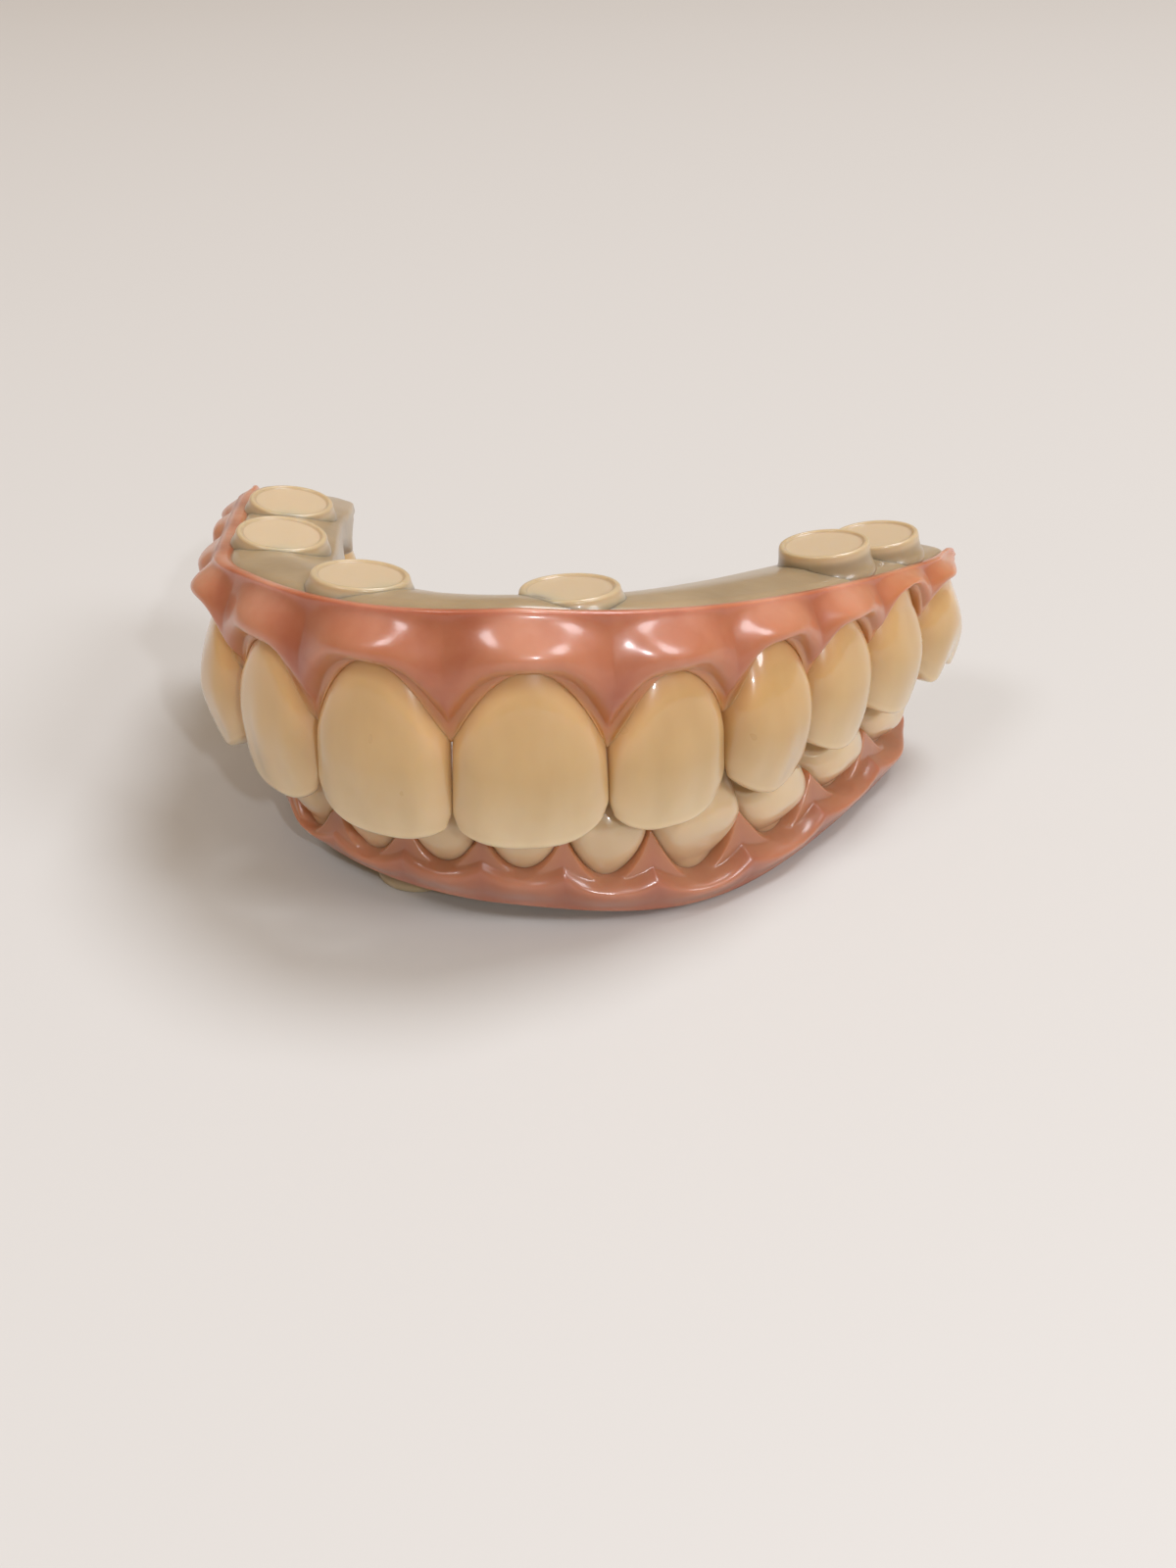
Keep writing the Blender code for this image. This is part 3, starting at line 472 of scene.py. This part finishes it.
def seatGrid(arch, s, rise):
    # a turned profile round the seat's axis: radius and height below the rim, spun through 360 degrees
    shape = seatShape
    ridge = barHeights(arch, np.array([s]))[3][0]
    place = placeOn(arch, s, -shape["fromFront"], ridge)
    _, _, nx, ny = alongLine(arch, s)
    lean = math.radians(shape["lean"])
    axis = np.array([-nx * math.sin(lean), -ny * math.sin(lean), math.cos(lean)])
    socket, deep, outer, wide = [shape[key] for key in ("socketRadius", "socketDepth", "radius", "fillet")]
    if arch["up"] < 0.0:
        # the lower seats stand upright on the table, with their axis downwards
        axis, rise = np.array([0.0, 0.0, -1.0]), place[2]
        outer, wide = shape["lowerRadius"], shape["lowerFillet"]
    profile = np.array([(0.02, -deep), (socket - 0.4, -deep), (socket - 0.08, -deep + 0.02), (socket, -0.08),
                        (socket + 0.06, 0.0), (outer - 0.12, 0.0), (outer - 0.01, -0.1),
                        (outer + 0.02, -0.6 * rise), (outer + 0.3 * wide, -rise), (outer + wide, -rise - 0.4),
                        (outer + wide, -rise - 0.8), (outer - 0.6, -rise - 0.9), (0.3, -rise - 0.9)])
    # corner cutting as above, but an open row keeps its two ends
    fine = profile[None]
    for _ in range(3):
        before, after = fine[:, :-1], fine[:, 1:]
        inner = np.stack([0.75 * before + 0.25 * after, 0.25 * before + 0.75 * after], axis=2)
        fine = np.concatenate([fine[:, :1], inner.reshape(1, -1, 2), fine[:, -1:]], axis=1)
    radius, height = fine[0, :, 0], fine[0, :, 1] + rise
    x = np.cross(axis, [0.0, 1.0, 0.0])
    x = x / np.linalg.norm(x)
    y = np.cross(axis, x)
    turn = 2.0 * math.pi * np.arange(shape["pointsRound"]) / shape["pointsRound"]
    ring = np.cos(turn)[:, None] * x + np.sin(turn)[:, None] * y
    points = place + radius[:, None, None] * ring[None] + height[:, None, None] * axis
    # 1 in the socket and 0.55 on the rim, fading down the side: the mask for painted light on the seat
    seat = np.where(radius < socket - 0.12, 1.0, 0.55 * ease((height - rise + 0.8) / 0.5))
    return points, {"seat": np.repeat(seat[:, None], shape["pointsRound"], axis=1)}


def makePiece(name, node, grids, material):
    # every grid becomes a closed skin: quads between its rows and a fan over each end
    points, faces, values, start = [], [], {}, 0
    for grid, marks in grids:
        rows, columns = grid.shape[:2]
        low = np.arange(rows - 1)[:, None] * columns
        j = np.arange(columns)[None, :]
        k = (j + 1) % columns
        quads = np.stack([low + j, low + k, low + columns + k, low + columns + j], axis=-1).reshape(-1, 4)
        ends = rows * columns
        ring, nextRing = np.arange(columns), np.roll(np.arange(columns), -1)
        last = ends - columns
        fans = np.concatenate([np.stack([nextRing, ring, np.full(columns, ends)], axis=1),
                               np.stack([last + ring, last + nextRing, np.full(columns, ends + 1)], axis=1)])
        flat = np.concatenate([grid.reshape(-1, 3), grid[:1].mean(axis=1), grid[-1:].mean(axis=1)])
        a, b, c, d = (flat[quads[:, i]] for i in range(4))
        volume = np.sum(a * np.cross(b, c)) + np.sum(a * np.cross(c, d))
        if volume < 0.0:
            quads, fans = quads[:, ::-1], fans[:, ::-1]
        points.append(flat)
        faces += (quads + start).tolist() + (fans + start).tolist()
        for mark, value in marks.items():
            full = np.concatenate([value.reshape(-1), value[0, :1], value[-1, :1]])
            values.setdefault(mark, []).append(full)
        start += len(flat)
    mesh = bpy.data.meshes.new(name)
    mesh.from_pydata((np.concatenate(points) * 0.001).tolist(), [], faces)
    for mark, parts in values.items():
        layer = mesh.attributes.new(mark, "FLOAT", "POINT")
        layer.data.foreach_set("value", np.concatenate(parts).astype(np.float32))
    mesh.shade_smooth()
    mesh.materials.append(material)
    piece = bpy.data.objects.new(name, mesh)
    bpy.context.scene.collection.objects.link(piece)
    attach(piece, "root")
    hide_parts(node)
    return piece


def paint(red, green, blue):
    # a colour as a screen shows it, 0 to 255, turned linear
    seen = np.array([red, green, blue]) / 255.0
    linear = np.where(seen <= 0.04045, seen / 12.92, ((seen + 0.055) / 1.055) ** 2.4)
    return (*linear.tolist(), 1.0)


def addNode(material, kind, links=(), **settings):
    made = material.node_tree.nodes.new(kind)
    for name, value in settings.items():
        setattr(made, name, value)
    for socket, source in links:
        if isinstance(source, bpy.types.NodeSocket):
            material.node_tree.links.new(source, made.inputs[socket])
        else:
            made.inputs[socket].default_value = source
    return made


def markValue(material, name):
    return addNode(material, "ShaderNodeAttribute", attribute_name=name).outputs["Fac"]


def ramp(material, source, low, high, stops):
    # the value between low and high picks a colour from the stops
    reach = addNode(material, "ShaderNodeMapRange",
                    [("Value", source), ("From Min", low), ("From Max", high)])
    made = addNode(material, "ShaderNodeValToRGB", [("Fac", reach.outputs["Result"])])
    elements = made.color_ramp.elements
    for index, (place, colour) in enumerate(stops):
        stop = elements[index] if index < 2 else elements.new(place)
        stop.position = place
        stop.color = paint(*colour)
    return made.outputs["Color"]


def mixColour(material, share, first, second, how="MIX"):
    made = addNode(material, "ShaderNodeMix", data_type="RGBA", blend_type=how)
    sockets = [socket for socket in made.inputs if socket.type == "RGBA"]
    for socket, value in zip([made.inputs[0]] + sockets, (share, first, second)):
        if isinstance(value, bpy.types.NodeSocket):
            material.node_tree.links.new(value, socket)
        else:
            socket.default_value = value
    return [socket for socket in made.outputs if socket.type == "RGBA"][0]


def maths(material, how, first, second=0.0):
    made = addNode(material, "ShaderNodeMath", [(0, first), (1, second)], operation=how)
    return made.outputs[0]


def noise(material, scale, detail=2.0, stretch=(1.0, 1.0, 1.0)):
    place = addNode(material, "ShaderNodeTexCoord").outputs["Object"]
    turned = addNode(material, "ShaderNodeMapping", [("Vector", place), ("Scale", stretch)])
    made = addNode(material, "ShaderNodeTexNoise",
                   [("Vector", turned.outputs[0]), ("Scale", scale), ("Detail", detail)])
    return made.outputs[0]


def addBump(material, shader, height, strength, distance):
    made = addNode(material, "ShaderNodeBump",
                   [("Height", height), ("Strength", strength), ("Distance", distance)])
    material.node_tree.links.new(made.outputs[0], shader.inputs["Normal"])


def newFinish(name, values):
    material = bpy.data.materials.new(name)
    material.use_nodes = True
    shader = material.node_tree.nodes["Principled BSDF"]
    for socket, value in values.items():
        shader.inputs[socket].default_value = value
    return material, shader


fadeOut = [(0.0, (255, 255, 255)), (1.0, (0, 0, 0))]

toothFinish = {"Roughness": 0.3, "IOR": 1.5, "Subsurface Weight": 0.55, "Subsurface Scale": 0.0013,
               "Subsurface Radius": (1.0, 0.62, 0.32), "Coat Weight": 1.0, "Coat Roughness": 0.05}
# stops from the biting edge to the gum line, and from the gum line over the neck's length
toothColours = {"body": [(0.0, (228, 210, 176)), (0.07, (217, 196, 159)), (0.24, (209, 183, 140)),
                         (0.45, (203, 172, 120)), (0.8, (204, 169, 115))],
                "neck": [(0.0, (212, 166, 116)), (0.35, (222, 186, 136)), (1.0, (205, 172, 121))],
                "neckLength": 3.0, "neckFade": (0.3, 3.2), "sides": (196, 156, 104), "sideShare": 0.5,
                "cloud": [(0.0, (240, 236, 226)), (1.0, (255, 255, 255))],
                "cloudScale": 260.0, "cloudStretch": (1.0, 1.0, 0.45), "grainScale": 420.0,
                "grainStretch": (1.0, 1.0, 0.6), "grainStrength": 0.1, "grainDepth": 0.0001,
                "lower": (216, 196, 166), "lowerShare": 0.6, "roughness": (0.24, 0.36),
                "tones": {"central_incisor": (255, 255, 255), "lateral_incisor": (252, 250, 246),
                          "canine": (250, 244, 234), "first_premolar": (252, 248, 240),
                          "second_premolar": (252, 248, 240), "first_molar": (250, 246, 238)}}


def toothMaterial(tooth):
    # pale rim at the biting edge, milky band, khaki body, amber at the neck and sides; the lower ones paler
    # the neck's lighter stop is partly painted highlight, the darker sides partly painted shade, the lower
    # ones' paleness painted light
    colours = toothColours
    material, shader = newFinish(tooth["node"], toothFinish)
    height = tooth["gumLine"] - tooth["arch"]["biteStart"]
    body = ramp(material, markValue(material, "fromEdge"), 0.0, height, colours["body"])
    # amber at the gum line with a lighter stop just below it, partly painted highlight on the neck
    neck = ramp(material, markValue(material, "toGum"), 0.0, colours["neckLength"], colours["neck"])
    nearGum = ramp(material, markValue(material, "toGum"), *colours["neckFade"], fadeOut)
    colour = mixColour(material, nearGum, body, neck)
    # darker amber towards the sides: partly the tooth's own amber, partly painted shade where the sides turn
    # away
    side = maths(material, "POWER", maths(material, "ABSOLUTE", markValue(material, "across")), 6.0)
    share = maths(material, "MULTIPLY", side, colours["sideShare"])
    colour = mixColour(material, share, colour, paint(*colours["sides"]))
    cloudy = noise(material, colours["cloudScale"], 3.0, colours["cloudStretch"])
    cloud = ramp(material, cloudy, 0.3, 0.7, colours["cloud"])
    colour = mixColour(material, 1.0, colour, cloud, "MULTIPLY")
    colour = mixColour(material, 1.0, colour, paint(*colours["tones"][tooth["kind"]]), "MULTIPLY")
    # the lower teeth mixed paler: painted light against the shade under the upper arch
    if tooth["arch"]["up"] < 0.0:
        colour = mixColour(material, colours["lowerShare"], colour, paint(*colours["lower"]))
    material.node_tree.links.new(colour, shader.inputs["Base Color"])
    grain = noise(material, colours["grainScale"], 2.0, colours["grainStretch"])
    addBump(material, shader, grain, colours["grainStrength"], colours["grainDepth"])
    low, high = colours["roughness"]
    rough = addNode(material, "ShaderNodeMapRange",
                    [("Value", noise(material, colours["grainScale"])), ("To Min", low), ("To Max", high)])
    material.node_tree.links.new(rough.outputs[0], shader.inputs["Roughness"])
    return material


gumFinish = {"Roughness": 0.36, "IOR": 1.5, "Subsurface Weight": 0.5, "Subsurface Radius": (1.0, 0.4, 0.22),
             "Subsurface Scale": 0.0014, "Coat Weight": 0.7, "Coat Roughness": 0.17}
# body: stops from over a root to between two roots, the darker ones partly painted shade; margin: stops up
# from the gum line
gumColours = {"body": [(0.0, (198, 140, 116)), (0.5, (188, 124, 96)), (1.0, (176, 106, 74))],
              "blotch": [(0.0, (232, 210, 200)), (1.0, (255, 255, 255))],
              "margin": [(0.0, (190, 130, 70)), (0.3, (186, 118, 62)), (1.0, (190, 120, 80))],
              "marginHeight": 3.4, "marginShare": 0.45, "lower": (164, 112, 94), "lowerShare": 0.45,
              "blotchScale": 300.0, "waveScale": 330.0, "waveStrength": 0.4, "waveDepth": 0.00025,
              "fineScale": 1300.0, "fineShare": 0.1}


def gumMaterial(arch):
    # amber at the margins and papilla tips, coral over the roots, deeper between them (partly painted shade),
    # blotched
    colours = gumColours
    material, shader = newFinish(arch["name"] + "_gum", gumFinish)
    body = ramp(material, markValue(material, "between"), 0.0, 1.0, colours["body"])
    blotchy = noise(material, colours["blotchScale"], 4.0)
    blotch = ramp(material, blotchy, 0.35, 0.68, colours["blotch"])
    body = mixColour(material, 1.0, body, blotch, "MULTIPLY")
    margin = ramp(material, markValue(material, "rise"), 0.0, colours["marginHeight"], colours["margin"])
    near = ramp(material, markValue(material, "rise"), 0.0, colours["marginHeight"], fadeOut)
    least = colours["marginShare"]
    more = maths(material, "MULTIPLY", markValue(material, "between"), 1.0 - least)
    tip = maths(material, "MULTIPLY", near, maths(material, "ADD", least, more))
    colour = mixColour(material, tip, body, margin)
    # the lower band mixed towards a darker pink: painted shade under the upper arch
    if arch["up"] < 0.0:
        colour = mixColour(material, colours["lowerShare"], colour, paint(*colours["lower"]))
    material.node_tree.links.new(colour, shader.inputs["Base Color"])
    fine = maths(material, "MULTIPLY", noise(material, colours["fineScale"]), colours["fineShare"])
    wave = maths(material, "ADD", noise(material, colours["waveScale"]), fine)
    addBump(material, shader, wave, colours["waveStrength"], colours["waveDepth"])
    return material


barFinish = {"Roughness": 0.3, "IOR": 1.5, "Subsurface Weight": 0.6, "Subsurface Radius": (1.0, 0.7, 0.4),
             "Subsurface Scale": 0.0012, "Coat Weight": 0.3, "Coat Roughness": 0.12}
barColours = {"cloud": [(0.0, (148, 129, 100)), (1.0, (166, 146, 115))],
              # seat: painted light, from the seat's side up to its socket floor
              "seat": [(0.0, (168, 150, 120)), (0.5, (184, 165, 133)), (1.0, (202, 182, 151))],
              "cloudScale": 240.0, "grainScale": 1100.0, "grainStrength": 0.12, "grainDepth": 0.0001}


def barMaterial(arch):
    # greenish beige with cloudy patches, with painted light: paler on the seats and palest in their sockets
    material, shader = newFinish(arch["name"] + "_framework", barFinish)
    colours = barColours
    base = ramp(material, noise(material, colours["cloudScale"], 3.0), 0.3, 0.7, colours["cloud"])
    seat = ramp(material, markValue(material, "seat"), 0.0, 1.0, colours["seat"])
    share = maths(material, "MINIMUM", maths(material, "MULTIPLY", markValue(material, "seat"), 2.0), 1.0)
    colour = mixColour(material, share, base, seat)
    material.node_tree.links.new(colour, shader.inputs["Base Color"])
    grain = noise(material, colours["grainScale"])
    addBump(material, shader, grain, colours["grainStrength"], colours["grainDepth"])
    return material


for arch in (upperArch, lowerArch):
    for tooth in arch["list"]:
        makePiece(tooth["node"] + "_crown", tooth["node"], [toothGrid(tooth)], toothMaterial(tooth))
    print(arch["name"], "teeth made")
    makePiece(arch["name"] + "_gum_band", arch["name"] + "_gum", [gumGrid(arch)], gumMaterial(arch))
    print(arch["name"], "gum made")
    grids = [barGrid(arch)] + [seatGrid(arch, s, rise) for s, rise in seatShape[arch["name"]]]
    makePiece(arch["name"] + "_bar", arch["name"] + "_framework", grids, barMaterial(arch))
    print(arch["name"], "framework made")

stage = {"floorColour": (203, 203, 201), "floorSize": 3.0, "worldColour": (255, 222, 184),
         "worldStrength": 0.42, "backdropColour": (222, 219, 214), "lampColour": (0.96, 0.99, 1.06),
         "lampAim": (0.0, 0.0, 0.01)}

mesh = bpy.data.meshes.new("floor")
reach = 0.5 * stage["floorSize"]
corners = [(-reach, -reach, 0.0), (reach, -reach, 0.0), (reach, reach, 0.0), (-reach, reach, 0.0)]
mesh.from_pydata(corners, [], [(0, 1, 2, 3)])
floor = bpy.data.objects.new("floor", mesh)
bpy.context.scene.collection.objects.link(floor)
floorFinish = {"Base Color": paint(*stage["floorColour"]), "Roughness": 0.55}
mesh.materials.append(newFinish("floor", floorFinish)[0])

world = bpy.data.worlds.new("studio")
world.use_nodes = True
lit = world.node_tree.nodes["Background"]
lit.inputs["Color"].default_value = paint(*stage["worldColour"])
lit.inputs["Strength"].default_value = stage["worldStrength"]
# what the camera sees past the floor is pale, whatever the world lights with
backdrop = addNode(world, "ShaderNodeBackground", [("Color", paint(*stage["backdropColour"]))])
ray = addNode(world, "ShaderNodeLightPath").outputs["Is Camera Ray"]
choice = addNode(world, "ShaderNodeMixShader", [(0, ray), (1, lit.outputs[0]), (2, backdrop.outputs[0])])
world.node_tree.links.new(choice.outputs[0], world.node_tree.nodes["World Output"].inputs["Surface"])
bpy.context.scene.world = world

# name: place in metres, size, watts
lamps = {"overhead": ((0.35, 0.35, 1.15), 0.55, 9.2), "right": ((0.85, -0.35, 0.75), 0.4, 4.2),
         "front": ((-0.35, -0.50, 0.80), 0.25, 1.9), "spark": ((0.35, -0.60, 0.40), 0.03, 1.3)}
for name, (place, size, watts) in lamps.items():
    light = bpy.data.lights.new(name, "AREA")
    light.shape = "DISK"
    light.size = size
    light.energy = watts
    light.color = stage["lampColour"]
    lamp = bpy.data.objects.new(name, light)
    lamp.location = place
    towards = Vector(stage["lampAim"]) - Vector(place)
    lamp.rotation_euler = towards.to_track_quat("-Z", "Y").to_euler()
    bpy.context.scene.collection.objects.link(lamp)

view = {"place": (0.019205, -0.095028, 0.05782), "turn": 10.0, "down": 30.2, "lens": 40.3}
lens = bpy.data.cameras.new("camera")
lens.lens = view["lens"]
lens.clip_start = 0.001
camera = bpy.data.objects.new("camera", lens)
turn, down = math.radians(view["turn"]), math.radians(view["down"])
right = Vector((math.cos(turn), math.sin(turn), 0.0))
ahead = Vector((-math.sin(turn) * math.cos(down), math.cos(turn) * math.cos(down), -math.sin(down)))
above = right.cross(ahead)
camera.matrix_world = Matrix(((right.x, above.x, -ahead.x, view["place"][0]),
                              (right.y, above.y, -ahead.y, view["place"][1]),
                              (right.z, above.z, -ahead.z, view["place"][2]), (0.0, 0.0, 0.0, 1.0)))
bpy.context.scene.collection.objects.link(camera)
bpy.context.scene.camera = camera
bpy.context.scene.view_settings.view_transform = "Standard"
print("stage set")
